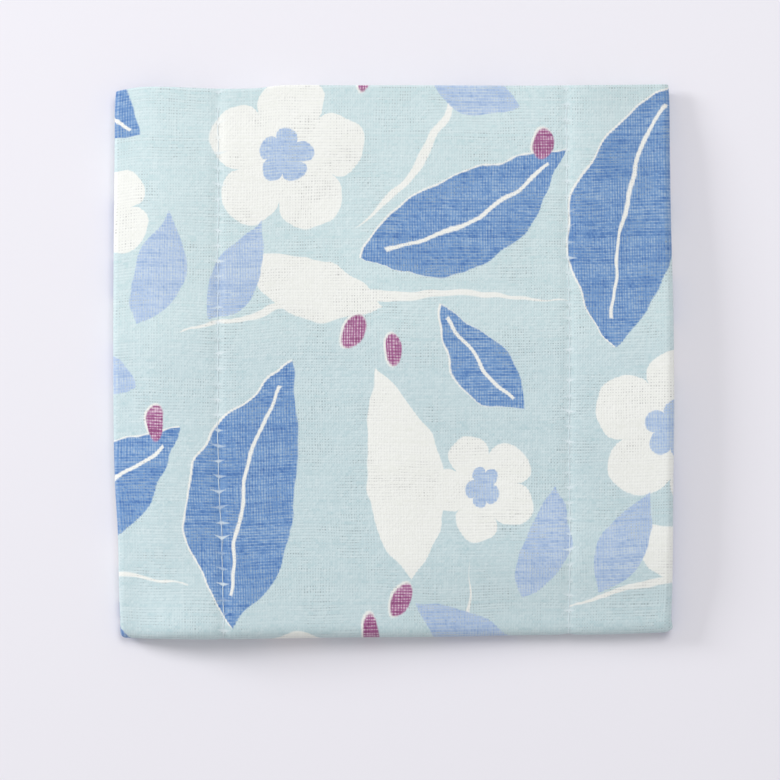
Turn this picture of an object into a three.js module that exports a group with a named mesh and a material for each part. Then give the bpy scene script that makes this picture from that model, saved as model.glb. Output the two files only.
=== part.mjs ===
// A kitchen cloth of five gauze plies, quilted together along four lines and folded flat.
//
// The open cloth is a rectangle. It is folded in three across its length, the left flap under the
// middle panel and the right flap under both. Then it is folded once in half, with the flaps
// inside, so that six layers lie on each other. The half fold is a thick roll along the front edge,
// and the hemmed ends lie open along the back edge. The whole cloth is one closed solid.
//
// Frame: millimetres, +Z up, +X along the panel's width, +Y towards the open ends, and the origin
// at the centre of the underside.
import * as THREE from 'three';

// The open cloth: its length runs across the panel, its width runs through the half fold.
const CLOTH = { length: 400, width: 300, thickness: 1.2 };

// The folded cloth: the panel's width, the clear space between layers, and how much longer the
// upper half is than an exact half.
const PANEL_WIDTH = 151;
const LAYER_GAP = 0.3;
const UPPER_EXTRA = 0.8;

// The quilting lines, at equal steps about the panel's middle, and the trough along each of them.
const QUILTING = { lines: 4, spacing: 94.5, pinch: 0.5, reach: 1.6 };

// How square the front roll's section is: 2 is round, and more is flatter above and in front.
const ROLL_SQUARENESS = 2.8;

// Each flap is a little askew: its hem runs back from the panel's hem as it leaves its fold.
const FLAP_SKEW = { left: 0.011, right: 0.004 };

// The folded outline is uneven. Each row gives how far the two side edges are drawn in at a place
// along Y, and the next table how far the front roll and the open ends are drawn in along X.
const SIDE_EDGES = [
  { at: -74, left: 2.7, right: -0.7 },
  { at: -60, left: 2.4, right: -1.0 },
  { at: -46, left: 1.9, right: -1.1 },
  { at: -34, left: 1.1, right: -1.1 },
  { at: -19, left: 0.7, right: -1.2 },
  { at: 12, left: 0.7, right: -1.2 },
  { at: 36, left: 0.8, right: -0.6 },
  { at: 60, left: 0.9, right: -0.3 },
  { at: 70, left: 0.9, right: -0.3 },
  { at: 75, left: 1.2, right: 0.0 },
];
const END_EDGES = [
  { at: -75, roll: -0.4, hem: 1.3 },
  { at: -69, roll: -0.6, hem: 0.4 },
  { at: -62, roll: -0.6, hem: 0.4 },
  { at: -48, roll: -0.7, hem: 0.9 },
  { at: -37, roll: -0.5, hem: 0.8 },
  { at: -30, roll: -0.4, hem: 0.0 },
  { at: -13, roll: -0.2, hem: 0.0 },
  { at: 13, roll: -0.1, hem: 0.0 },
  { at: 38, roll: 0.35, hem: 0.1 },
  { at: 56, roll: 0.5, hem: -0.1 },
  { at: 75, roll: 1.1, hem: -0.6 },
];

// Soft swells and hollows of the upper face, with the crown first and a shallow crease last.
const SWELLS = [
  { x: -4, y: 4, rise: 0.35, reachX: 55, reachY: 60 },
  { x: -36, y: 34, rise: 0.22, reachX: 16, reachY: 24 },
  { x: 27, y: 40, rise: 0.25, reachX: 20, reachY: 18 },
  { x: 56, y: -26, rise: 0.2, reachX: 13, reachY: 24 },
  { x: -22, y: -38, rise: 0.22, reachX: 24, reachY: 16 },
  { x: 6, y: 3, rise: -0.3, reachX: 60, reachY: 7 },
];

// How much higher or lower the front roll and the hemmed ends stand than the middle, along X, and
// how far in from its end each of these heights reaches.
const END_HEIGHTS = [
  { at: -75, roll: -2.4, hem: -0.9 },
  { at: -70, roll: -1.9, hem: -0.7 },
  { at: -64, roll: -0.2, hem: -0.5 },
  { at: -57, roll: 1.2, hem: -0.5 },
  { at: -50, roll: 1.4, hem: -0.5 },
  { at: -26, roll: -0.2, hem: -0.7 },
  { at: 2, roll: -1.6, hem: -0.7 },
  { at: 26, roll: -2.9, hem: -0.7 },
  { at: 50, roll: -3.0, hem: -0.5 },
  { at: 64, roll: -2.3, hem: -1.0 },
  { at: 75, roll: -2.2, hem: -2.2 },
];
const END_HEIGHT_REACH = { roll: 24, hem: 18 };

// The lower layers stand out a little past the side edges, over a stretch of each, and at the front
// right corner an inner corner of the cloth pokes out between the halves.
const LOWER_LAYERS_OUT = [
  { side: 1, by: 0.7, y: -14, reach: 17 },
  { side: -1, by: 0.8, y: -62, reach: 20 },
  { side: -1, by: 0.6, y: 15, reach: 45 },
];
const OUT_FROM = 30;
const CORNER_EAR = { x: 76.3, y: -73.5, out: 0.8, front: 0.4, reach: 1.6, reachZ: 2 };

// How finely the cloth is divided: the longest step on the panel and on the flaps, the steps
// round each fold, the steps along each straight half, the rounding of the hems, and the places
// across each quilting trough.
const STEPS = { panel: 9, flap: 18, leftFold: 6, rightFold: 8, halfFold: 8, half: 10 };
const HEM_ROUNDING = [0, 0.25, 0.6];
const BLUNT_EDGE = 0.35;
const TROUGH_PLACES = [-3, -1.3, 0, 1.3, 3];
const CLEAR_OF_TROUGH = 4;

// Worked out from the driving dimensions.
const HALF_THICKNESS = CLOTH.thickness / 2;
const PITCH = CLOTH.thickness + LAYER_GAP;
const HEIGHT = { panel: 2.5 * PITCH, leftFlap: 1.5 * PITCH, rightFlap: 0.5 * PITCH };
const MIDDLE = HEIGHT.panel + HALF_THICKNESS;
const PACK_HEIGHT = 2 * MIDDLE;
const LEFT_RADIUS = (HEIGHT.panel - HEIGHT.leftFlap) / 2;
const RIGHT_RADIUS = (HEIGHT.panel - HEIGHT.rightFlap) / 2;
const LEFT_BEND = -PANEL_WIDTH / 2 + LEFT_RADIUS + HALF_THICKNESS;
const RIGHT_BEND = PANEL_WIDTH / 2 - RIGHT_RADIUS - HALF_THICKNESS;
const HALF_LENGTH = CLOTH.length / 2;
const ROLL_ARC = Math.PI * HEIGHT.panel / 2;
const UPPER_END = CLOTH.width / 2 + UPPER_EXTRA;
const LOWER_END = -CLOTH.width / 2 + UPPER_EXTRA;
const PACK_DEPTH = UPPER_END - ROLL_ARC + MIDDLE;
const ROLL_CENTRE = -PACK_DEPTH / 2 + MIDDLE;
const LEFT_FLAP_END = LEFT_BEND + (HALF_LENGTH + LEFT_BEND - Math.PI * LEFT_RADIUS);
const RIGHT_FLAP_END = RIGHT_BEND - (HALF_LENGTH - RIGHT_BEND - Math.PI * RIGHT_RADIUS);

// Where a flap ends short of the far fold, the layers above settle into the hollow that it leaves.
// Each row is one hollow: where it starts and ends along X, and its floor and roof at full height.
// The second is the left side of the first, where the folds lie flattest.
const LEFT_HOLLOW = {
  floor: MIDDLE - HEIGHT.leftFlap + HALF_THICKNESS,
  roof: MIDDLE + HEIGHT.leftFlap - HALF_THICKNESS,
};
const HOLLOWS = [
  { name: 'left', startX: RIGHT_FLAP_END - 6, endX: -PANEL_WIDTH / 2 - 8, ...LEFT_HOLLOW },
  { name: 'leftEdge', startX: -62, endX: -78, ...LEFT_HOLLOW },
  {
    name: 'rightUpper', startX: LEFT_FLAP_END + 1, endX: PANEL_WIDTH / 2,
    floor: MIDDLE + HEIGHT.rightFlap + HALF_THICKNESS,
    roof: MIDDLE + HEIGHT.panel - HALF_THICKNESS,
  },
  {
    name: 'rightLower', startX: LEFT_FLAP_END + 1, endX: PANEL_WIDTH / 2,
    floor: MIDDLE - HEIGHT.panel + HALF_THICKNESS,
    roof: MIDDLE - HEIGHT.rightFlap - HALF_THICKNESS,
  },
];

// How far the layers over each hollow drop, along Y: little where the roll holds them up, and most
// at the open ends.
const HOLLOW_DROPS = [
  { at: -75, left: 0.4, leftEdge: 2.6, rightUpper: 0.6, rightLower: 0.5 },
  { at: -66, left: 0.8, leftEdge: 2.1, rightUpper: 0.5, rightLower: 0.4 },
  { at: -50, left: 1.7, leftEdge: 1.4, rightUpper: 0.3, rightLower: 0.2 },
  { at: -12, left: 1.9, leftEdge: 1.4, rightUpper: 0.1, rightLower: 0.0 },
  { at: 24, left: 1.9, leftEdge: 1.4, rightUpper: 0.3, rightLower: 0.3 },
  { at: 54, left: 1.9, leftEdge: 1.4, rightUpper: 1.1, rightLower: 1.0 },
  { at: 75, left: 1.9, leftEdge: 1.4, rightUpper: 1.5, rightLower: 1.5 },
];

function clamp01(value) {
  return Math.min(1, Math.max(0, value));
}

function smooth(start, end, value) {
  const share = clamp01((value - start) / (end - start));
  return share * share * (3 - 2 * share);
}

function bell(offset, reach) {
  return Math.exp(-((offset / reach) ** 2));
}

// A smooth curve through one column of a table, level past its first and last rows.
function readTable(rows, column, place) {
  const last = rows.length - 1;
  if (place <= rows[0].at) return rows[0][column];
  if (place >= rows[last].at) return rows[last][column];
  const next = rows.findIndex((row) => row.at > place);
  const slope = (index) => {
    const before = rows[Math.max(0, index - 1)];
    const after = rows[Math.min(last, index + 1)];
    return (after[column] - before[column]) / (after.at - before.at);
  };
  const from = rows[next - 1];
  const to = rows[next];
  const span = to.at - from.at;
  const u = (place - from.at) / span;
  const startWeight = (1 + 2 * u) * (1 - u) ** 2;
  const endWeight = u * u * (3 - 2 * u);
  const startSlope = u * (1 - u) ** 2 * span * slope(next - 1);
  const endSlope = u * u * (u - 1) * span * slope(next);
  return startWeight * from[column] + endWeight * to[column] + startSlope + endSlope;
}

// The cross-section of one half, before the half fold. At a distance along the cloth from the
// panel's middle, it gives the place across the pack, the height above the pack's middle plane,
// and the direction of the cloth's outer face.
function section(along) {
  if (along > RIGHT_BEND) {
    const angle = (along - RIGHT_BEND) / RIGHT_RADIUS;
    if (angle < Math.PI) {
      return {
        x: RIGHT_BEND + RIGHT_RADIUS * Math.sin(angle),
        height: HEIGHT.panel - RIGHT_RADIUS * (1 - Math.cos(angle)),
        outX: Math.sin(angle),
        outHeight: Math.cos(angle),
      };
    }
    const past = along - RIGHT_BEND - Math.PI * RIGHT_RADIUS;
    return { x: RIGHT_BEND - past, height: HEIGHT.rightFlap, outX: 0, outHeight: -1 };
  }
  if (along < LEFT_BEND) {
    const angle = (LEFT_BEND - along) / LEFT_RADIUS;
    if (angle < Math.PI) {
      return {
        x: LEFT_BEND - LEFT_RADIUS * Math.sin(angle),
        height: HEIGHT.panel - LEFT_RADIUS * (1 - Math.cos(angle)),
        outX: -Math.sin(angle),
        outHeight: Math.cos(angle),
      };
    }
    const past = LEFT_BEND - along - Math.PI * LEFT_RADIUS;
    return { x: LEFT_BEND + past, height: HEIGHT.leftFlap, outX: 0, outHeight: -1 };
  }
  return { x: along, height: HEIGHT.panel, outX: 0, outHeight: 1 };
}

// How far a flap's own width lies back, at a distance along the cloth.
function skew(along) {
  const leftPast = Math.max(0, LEFT_BEND - Math.PI * LEFT_RADIUS - along);
  const rightPast = Math.max(0, along - RIGHT_BEND - Math.PI * RIGHT_RADIUS);
  return -FLAP_SKEW.left * leftPast - FLAP_SKEW.right * rightPast;
}

// The half fold: a place in the cross-section is carried round the front roll.
function throughHalfFold(x, height, across) {
  if (across > ROLL_ARC) return { x, y: ROLL_CENTRE + across - ROLL_ARC, z: MIDDLE + height };
  if (across < -ROLL_ARC) return { x, y: ROLL_CENTRE - across - ROLL_ARC, z: MIDDLE - height };
  const angle = across / ROLL_ARC * Math.PI / 2;
  const forward = Math.cos(angle);
  const upward = Math.sin(angle);
  const fullness = forward ** ROLL_SQUARENESS + Math.abs(upward) ** ROLL_SQUARENESS;
  const reach = height * fullness ** (-1 / ROLL_SQUARENESS);
  return { x, y: ROLL_CENTRE - reach * forward, z: MIDDLE + reach * upward };
}

// Half the cloth's thickness, thinner along the quilting lines and rounded off at the hems.
function halfThickness(along, across) {
  const fromSide = HALF_LENGTH - Math.abs(along);
  const fromEnd = Math.min(UPPER_END - across, across - LOWER_END);
  const fromHem = clamp01(Math.min(fromSide, fromEnd) / HALF_THICKNESS);
  const rounding = BLUNT_EDGE + (1 - BLUNT_EDGE) * Math.sqrt(1 - (1 - fromHem) ** 2);
  let pinched = 0;
  for (const line of quiltingLines()) pinched += bell(along - line, QUILTING.reach);
  return HALF_THICKNESS * rounding * (1 - QUILTING.pinch * pinched);
}

function quiltingLines() {
  const first = -(QUILTING.lines - 1) / 2 * QUILTING.spacing;
  return Array.from({ length: QUILTING.lines }, (_, index) => first + index * QUILTING.spacing);
}

// The folded cloth as it lies: layers settled into the hollows, the upper face softly swollen,
// and the outline drawn in and out. Each step keeps the order of the layers.
function settle({ x, y, z }) {
  let drop = 0;
  for (const hollow of HOLLOWS) {
    const filled = clamp01((z - hollow.floor) / (hollow.roof - hollow.floor));
    const deepest = readTable(HOLLOW_DROPS, hollow.name, y);
    drop += deepest * smooth(hollow.startX, hollow.endX, x) * filled;
  }
  const end = PACK_DEPTH / 2;
  let rise = readTable(END_HEIGHTS, 'roll', x) * smooth(END_HEIGHT_REACH.roll - end, -end, y);
  rise += readTable(END_HEIGHTS, 'hem', x) * smooth(end - END_HEIGHT_REACH.hem, end, y);
  for (const swell of SWELLS) {
    rise += swell.rise * bell(x - swell.x, swell.reachX) * bell(y - swell.y, swell.reachY);
  }
  return { x, y, z: (z - drop) * (1 + rise / PACK_HEIGHT) };
}

function drawOutline({ x, y, z }) {
  const toRight = x / PANEL_WIDTH + 0.5;
  const toHems = y / PACK_DEPTH + 0.5;
  const left = readTable(SIDE_EDGES, 'left', y) * (1 - toRight);
  const right = readTable(SIDE_EDGES, 'right', y) * toRight;
  const roll = readTable(END_EDGES, 'roll', x) * (1 - toHems);
  const hem = readTable(END_EDGES, 'hem', x) * toHems;
  const lowness = 1 - clamp01(z / PACK_HEIGHT);
  let sideways = 0;
  for (const out of LOWER_LAYERS_OUT) {
    const beside = smooth(OUT_FROM, PANEL_WIDTH / 2, out.side * x);
    sideways += out.side * out.by * lowness * bell(y - out.y, out.reach) * beside;
  }
  const ear = bell(x - CORNER_EAR.x, CORNER_EAR.reach) * bell(y - CORNER_EAR.y, CORNER_EAR.reach)
    * bell(z - MIDDLE, CORNER_EAR.reachZ);
  return {
    x: x + left - right + sideways + CORNER_EAR.out * ear,
    y: y + roll - hem - CORNER_EAR.front * ear,
    z,
  };
}

// A point of the folded cloth: outward is 1 on its outer face and -1 on its inner face.
function clothPoint(along, across, outward) {
  const place = section(along);
  const offset = outward * halfThickness(along, across);
  const x = place.x + offset * place.outX;
  const height = place.height + offset * place.outHeight;
  return drawOutline(settle(throughHalfFold(x, height, across + skew(along))));
}

// Places from start to end, no further apart than the step.
function fill(start, end, step) {
  const count = Math.ceil(Math.abs(end - start) / step);
  return Array.from({ length: count }, (_, index) => start + (end - start) * index / count);
}

// Places along the cloth: close together round the folds, at the quilting lines and at the hems.
function alongPlaces() {
  const leftFoldEnd = LEFT_BEND - Math.PI * LEFT_RADIUS;
  const rightFoldEnd = RIGHT_BEND + Math.PI * RIGHT_RADIUS;
  const plain = [
    ...fill(-HALF_LENGTH, leftFoldEnd, STEPS.flap),
    ...fill(leftFoldEnd, LEFT_BEND, Math.PI * LEFT_RADIUS / STEPS.leftFold),
    ...fill(LEFT_BEND, RIGHT_BEND, STEPS.panel),
    ...fill(RIGHT_BEND, rightFoldEnd, Math.PI * RIGHT_RADIUS / STEPS.rightFold),
    ...fill(rightFoldEnd, HALF_LENGTH, STEPS.flap),
    HALF_LENGTH,
  ];
  const lines = quiltingLines();
  const isClear = (place) => lines.every((line) => Math.abs(place - line) > CLEAR_OF_TROUGH);
  const places = plain.filter(isClear);
  for (const line of lines) {
    for (const offset of TROUGH_PLACES) places.push(line + offset);
  }
  for (const inset of HEM_ROUNDING.slice(1)) places.push(inset - HALF_LENGTH, HALF_LENGTH - inset);
  return places.sort((one, other) => one - other);
}

// Places across the cloth, from the lower hem round the half fold to the upper hem.
function acrossPlaces() {
  const inner = HEM_ROUNDING[HEM_ROUNDING.length - 1];
  const lowerStep = (-ROLL_ARC - LOWER_END) / STEPS.half;
  const upperStep = (UPPER_END - ROLL_ARC) / STEPS.half;
  return [
    ...HEM_ROUNDING.slice(0, -1).map((inset) => LOWER_END + inset),
    ...fill(LOWER_END + inner, -ROLL_ARC, lowerStep),
    ...fill(-ROLL_ARC, ROLL_ARC, 2 * ROLL_ARC / STEPS.halfFold),
    ...fill(ROLL_ARC, UPPER_END - inner, upperStep),
    ...HEM_ROUNDING.map((inset) => UPPER_END - inset).reverse(),
  ];
}

// The closed solid: rings round the cross-section at each place across the cloth, joined to their
// neighbours, and closed at the two hems.
function clothGeometry() {
  const along = alongPlaces();
  const across = acrossPlaces();
  const count = along.length;
  const ring = 2 * count;
  const positions = [];
  for (const place of across) {
    for (const distance of along) pushPoint(positions, clothPoint(distance, place, 1));
    for (const distance of [...along].reverse()) pushPoint(positions, clothPoint(distance, place, -1));
  }
  const faces = [];
  for (let row = 0; row + 1 < across.length; row += 1) {
    for (let corner = 0; corner < ring; corner += 1) {
      const here = row * ring + corner;
      const beside = row * ring + (corner + 1) % ring;
      faces.push(here, beside, beside + ring, here, beside + ring, here + ring);
    }
  }
  const lastRow = (across.length - 1) * ring;
  for (let index = 0; index + 1 < count; index += 1) {
    const inner = ring - 1 - index;
    faces.push(index, inner, inner - 1, index, inner - 1, index + 1);
    faces.push(lastRow + index, lastRow + inner - 1, lastRow + inner);
    faces.push(lastRow + index, lastRow + index + 1, lastRow + inner - 1);
  }
  const geometry = new THREE.BufferGeometry();
  geometry.setAttribute('position', new THREE.Float32BufferAttribute(positions, 3));
  geometry.setIndex(faces);
  centreOnUnderside(geometry);
  geometry.computeVertexNormals();
  return geometry;
}

function pushPoint(positions, { x, y, z }) {
  positions.push(x, y, z);
}

function centreOnUnderside(geometry) {
  geometry.computeBoundingBox();
  const { min, max } = geometry.boundingBox;
  geometry.translate(-(min.x + max.x) / 2, -(min.y + max.y) / 2, -min.z);
}

const gauze = new THREE.MeshStandardMaterial({ color: 0xccdddf, roughness: 0.95, metalness: 0 });

const dishcloth = new THREE.Mesh(clothGeometry(), gauze);
dishcloth.name = 'dishcloth';

const group = new THREE.Group();
group.add(dishcloth);

export default group;
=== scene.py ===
"""The looks of a folded kitchen cloth of quilted gauze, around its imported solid.

The cloth is one sheet, folded in three across its length and then in half. Its form is worked out
the way the solid's is, from the same sizes, with a finer mesh, the stitches and their puckers. The
print, the weave of its plies and the yarns are nodes that read the flat cloth's own coordinates.
"""
import math
import bpy
import numpy as np
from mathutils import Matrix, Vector


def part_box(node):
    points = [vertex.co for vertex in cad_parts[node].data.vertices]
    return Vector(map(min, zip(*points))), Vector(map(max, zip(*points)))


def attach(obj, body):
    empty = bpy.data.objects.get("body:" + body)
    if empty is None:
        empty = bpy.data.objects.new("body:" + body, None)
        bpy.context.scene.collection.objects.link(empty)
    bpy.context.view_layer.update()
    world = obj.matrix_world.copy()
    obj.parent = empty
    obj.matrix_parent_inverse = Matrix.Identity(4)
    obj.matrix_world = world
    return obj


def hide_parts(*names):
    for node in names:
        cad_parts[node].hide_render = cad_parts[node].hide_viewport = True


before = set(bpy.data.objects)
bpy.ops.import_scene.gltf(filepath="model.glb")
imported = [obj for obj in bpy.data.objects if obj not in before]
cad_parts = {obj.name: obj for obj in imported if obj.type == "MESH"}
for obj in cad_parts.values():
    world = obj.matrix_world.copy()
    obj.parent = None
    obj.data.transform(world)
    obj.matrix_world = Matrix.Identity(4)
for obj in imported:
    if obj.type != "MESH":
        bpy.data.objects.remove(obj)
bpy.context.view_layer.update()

NODE = "dishcloth"
MM = 0.001

# The open cloth and its folds, in millimetres, as in the solid.
CLOTH_LENGTH = 400
CLOTH_WIDTH = 300
THICKNESS = 1.2
PANEL_WIDTH = 151
LAYER_GAP = 0.3
UPPER_EXTRA = 0.8
LINES = 4
LINE_SPACING = 94.5
PINCH = 0.5
PINCH_REACH = 1.6
LEFT_SKEW = 0.011
RIGHT_SKEW = 0.004
ROLL_SQUARENESS = 2.8

# How far the outline is drawn in, at places along Y for the sides and along X for the ends.
SIDE_EDGES = [
    {"at": -74, "left": 2.7, "right": -0.7},
    {"at": -60, "left": 2.4, "right": -1.0},
    {"at": -46, "left": 1.9, "right": -1.1},
    {"at": -34, "left": 1.1, "right": -1.1},
    {"at": -19, "left": 0.7, "right": -1.2},
    {"at": 12, "left": 0.7, "right": -1.2},
    {"at": 36, "left": 0.8, "right": -0.6},
    {"at": 60, "left": 0.9, "right": -0.3},
    {"at": 70, "left": 0.9, "right": -0.3},
    {"at": 75, "left": 1.2, "right": 0.0},
]
END_EDGES = [
    {"at": -75, "roll": -0.4, "hem": 1.3},
    {"at": -69, "roll": -0.6, "hem": 0.4},
    {"at": -62, "roll": -0.6, "hem": 0.4},
    {"at": -48, "roll": -0.7, "hem": 0.9},
    {"at": -37, "roll": -0.5, "hem": 0.8},
    {"at": -30, "roll": -0.4, "hem": 0.0},
    {"at": -13, "roll": -0.2, "hem": 0.0},
    {"at": 13, "roll": -0.1, "hem": 0.0},
    {"at": 38, "roll": 0.35, "hem": 0.1},
    {"at": 56, "roll": 0.5, "hem": -0.1},
    {"at": 75, "roll": 1.1, "hem": -0.6},
]
SWELLS = [
    {"x": -4, "y": 4, "rise": 0.35, "reach_x": 55, "reach_y": 60},
    {"x": -36, "y": 34, "rise": 0.22, "reach_x": 16, "reach_y": 24},
    {"x": 27, "y": 40, "rise": 0.25, "reach_x": 20, "reach_y": 18},
    {"x": 56, "y": -26, "rise": 0.2, "reach_x": 13, "reach_y": 24},
    {"x": -22, "y": -38, "rise": 0.22, "reach_x": 24, "reach_y": 16},
    {"x": 6, "y": 3, "rise": -0.3, "reach_x": 60, "reach_y": 7},
]

# How much higher or lower the front roll and the hemmed ends stand than the middle, along X, how
# far in that reaches, and how far the layers drop into each hollow, along Y.
END_HEIGHTS = [
    {"at": -75, "roll": -2.4, "hem": -0.9},
    {"at": -70, "roll": -1.9, "hem": -0.7},
    {"at": -64, "roll": -0.2, "hem": -0.5},
    {"at": -57, "roll": 1.2, "hem": -0.5},
    {"at": -50, "roll": 1.4, "hem": -0.5},
    {"at": -26, "roll": -0.2, "hem": -0.7},
    {"at": 2, "roll": -1.6, "hem": -0.7},
    {"at": 26, "roll": -2.9, "hem": -0.7},
    {"at": 50, "roll": -3.0, "hem": -0.5},
    {"at": 64, "roll": -2.3, "hem": -1.0},
    {"at": 75, "roll": -2.2, "hem": -2.2},
]
ROLL_HEIGHT_REACH = 24
HEM_HEIGHT_REACH = 18
HOLLOW_DROPS = [
    {"at": -75, "left": 0.4, "left_edge": 2.6, "right_upper": 0.6, "right_lower": 0.5},
    {"at": -66, "left": 0.8, "left_edge": 2.1, "right_upper": 0.5, "right_lower": 0.4},
    {"at": -50, "left": 1.7, "left_edge": 1.4, "right_upper": 0.3, "right_lower": 0.2},
    {"at": -12, "left": 1.9, "left_edge": 1.4, "right_upper": 0.1, "right_lower": 0.0},
    {"at": 24, "left": 1.9, "left_edge": 1.4, "right_upper": 0.3, "right_lower": 0.3},
    {"at": 54, "left": 1.9, "left_edge": 1.4, "right_upper": 1.1, "right_lower": 1.0},
    {"at": 75, "left": 1.9, "left_edge": 1.4, "right_upper": 1.5, "right_lower": 1.5},
]

# How far beyond a flap's end the drop sets in, how far past the left edge it still grows, and the
# stretch along X of the steeper drop at the left edge.
LEFT_EASE = 6
RIGHT_EASE = 1
LEFT_BEYOND = 8
LEFT_EDGE_SPAN = (-62, -78)

# Where the lower layers stand out at the sides, and the ear of cloth at the front right corner.
LOWER_OUT = [
    {"side": 1, "by": 0.7, "y": -14, "reach": 17},
    {"side": -1, "by": 0.8, "y": -62, "reach": 20},
    {"side": -1, "by": 0.6, "y": 15, "reach": 45},
]
OUT_FROM = 30
EAR = {"x": 76.3, "y": -73.5, "out": 0.8, "front": 0.4, "reach": 1.6, "reach_z": 2}

# The stitches: their length, the thread, how far it rises between holes and dips at them, how far the
# holes stray from the line, and the rings of points that make up a thread's arch.
STITCH = 4.16
THREAD_RADIUS = 0.1
THREAD_RISE = 0.05
THREAD_DIP = 0.24
THREAD_WANDER = 0.16
THREAD_ARCH = 0.5
THREAD_PLACES = [0, 0.1, 0.25, 0.5, 0.75, 0.9, 1]
THREAD_SIDES = 6
THREAD_SEED = 11
THREAD_FROM_HEM = 2
BELOW_THREAD = 0.2

# The cloth at the stitches: how much more it is pinched at a needle hole, and the puckers beside the
# line, which grow and fade along it on two waves, given in radians a millimetre.
PINCH_AT_HOLES = 0.18
PUCKER = 0.1
PUCKER_REACH = 3.4
PUCKER_START = 0.7 * PINCH_REACH
PUCKER_MEAN = 0.6
PUCKER_SWING = 0.4
PUCKER_WAVES = (0.31, 0.083)
PUCKER_LINE_SHIFT = 1.7

# How finely the scene's sheet is divided.
PANEL_STEP = 1.7
FLAP_STEP = 6.0
LEFT_FOLD_STEPS = 14
RIGHT_FOLD_STEPS = 18
ROLL_STEPS = 14
TROUGH_OFFSETS = [0.3, 0.7, 1.1, 1.6, 2.2, 3.0, 4.0]
TROUGH_CLEAR = 4.6
HEM_INSETS = [0, 0.08, 0.22, 0.4, 0.6]
BLUNT_EDGE = 0.3

# Worked out from the sizes above.
HALF_THICKNESS = THICKNESS / 2
PITCH = THICKNESS + LAYER_GAP
PANEL_HEIGHT = 2.5 * PITCH
LEFT_FLAP_HEIGHT = 1.5 * PITCH
RIGHT_FLAP_HEIGHT = 0.5 * PITCH
MIDDLE = PANEL_HEIGHT + HALF_THICKNESS
PACK_HEIGHT = 2 * MIDDLE
LEFT_RADIUS = (PANEL_HEIGHT - LEFT_FLAP_HEIGHT) / 2
RIGHT_RADIUS = (PANEL_HEIGHT - RIGHT_FLAP_HEIGHT) / 2
LEFT_BEND = -PANEL_WIDTH / 2 + LEFT_RADIUS + HALF_THICKNESS
RIGHT_BEND = PANEL_WIDTH / 2 - RIGHT_RADIUS - HALF_THICKNESS
LEFT_FOLD_END = LEFT_BEND - math.pi * LEFT_RADIUS
RIGHT_FOLD_END = RIGHT_BEND + math.pi * RIGHT_RADIUS
HALF_LENGTH = CLOTH_LENGTH / 2
ROLL_ARC = math.pi * PANEL_HEIGHT / 2
UPPER_END = CLOTH_WIDTH / 2 + UPPER_EXTRA
LOWER_END = -CLOTH_WIDTH / 2 + UPPER_EXTRA
PACK_DEPTH = UPPER_END - ROLL_ARC + MIDDLE
ROLL_CENTRE = -PACK_DEPTH / 2 + MIDDLE
LEFT_FLAP_END = LEFT_BEND + HALF_LENGTH + LEFT_FOLD_END
RIGHT_FLAP_END = RIGHT_BEND - HALF_LENGTH + RIGHT_FOLD_END
LINE_PLACES = [(index - (LINES - 1) / 2) * LINE_SPACING for index in range(LINES)]
LEFT_HOLLOW = {
    "floor": MIDDLE - LEFT_FLAP_HEIGHT + HALF_THICKNESS,
    "roof": MIDDLE + LEFT_FLAP_HEIGHT - HALF_THICKNESS,
}
HOLLOWS = [
    {"name": "left", "start": RIGHT_FLAP_END - LEFT_EASE, "end": -PANEL_WIDTH / 2 - LEFT_BEYOND,
     **LEFT_HOLLOW},
    {"name": "left_edge", "start": LEFT_EDGE_SPAN[0], "end": LEFT_EDGE_SPAN[1], **LEFT_HOLLOW},
    {"name": "right_upper", "start": LEFT_FLAP_END + RIGHT_EASE, "end": PANEL_WIDTH / 2,
     "floor": MIDDLE + RIGHT_FLAP_HEIGHT + HALF_THICKNESS,
     "roof": MIDDLE + PANEL_HEIGHT - HALF_THICKNESS},
    {"name": "right_lower", "start": LEFT_FLAP_END + RIGHT_EASE, "end": PANEL_WIDTH / 2,
     "floor": MIDDLE - PANEL_HEIGHT + HALF_THICKNESS,
     "roof": MIDDLE - RIGHT_FLAP_HEIGHT - HALF_THICKNESS},
]

# The map for an exported model's textures. Each row is a place along or across the cloth and its
# place on the map: the panel's outer face gets most of it, and the faces that the folds hide little.
OUTER_SHARES = [
    (-HALF_LENGTH, 0.0),
    (LEFT_FOLD_END, 0.06),
    (RIGHT_FOLD_END, 0.78),
    (HALF_LENGTH, 0.84),
]
INNER_SHARES = [(-HALF_LENGTH, 0.996), (HALF_LENGTH, 0.844)]
ACROSS_SHARES = [(LOWER_END, 0.01), (-ROLL_ARC, 0.3), (ROLL_ARC, 0.34), (UPPER_END, 0.99)]
HEM_SHARE = 0.006

# The names that the sheet's mesh and its material share, and the texture map's name.
FLAT_MAP = "Flat"
OUTER_FACE = "outer"
TEXTURE_MAP = "OFBake"


def smooth(start, end, value):
    share = np.clip((value - start) / (end - start), 0, 1)
    return share * share * (3 - 2 * share)


def bell(offset, reach):
    return np.exp(-((offset / reach) ** 2))


def read_table(rows, column, place):
    """A smooth curve through one column of a table, level past its ends."""
    at = np.array([row["at"] for row in rows], float)
    value = np.array([row[column] for row in rows], float)
    before = np.concatenate([[0], np.arange(len(rows) - 1)])
    after = np.concatenate([np.arange(1, len(rows)), [len(rows) - 1]])
    slope = (value[after] - value[before]) / (at[after] - at[before])
    place = np.clip(place, at[0], at[-1])
    low = np.clip(np.searchsorted(at, place, side="right") - 1, 0, len(rows) - 2)
    span = at[low + 1] - at[low]
    u = (place - at[low]) / span
    ends = (1 + 2 * u) * (1 - u) ** 2 * value[low] + u * u * (3 - 2 * u) * value[low + 1]
    start_slope = u * (1 - u) ** 2 * slope[low]
    end_slope = u * u * (u - 1) * slope[low + 1]
    return ends + span * (start_slope + end_slope)


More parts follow.
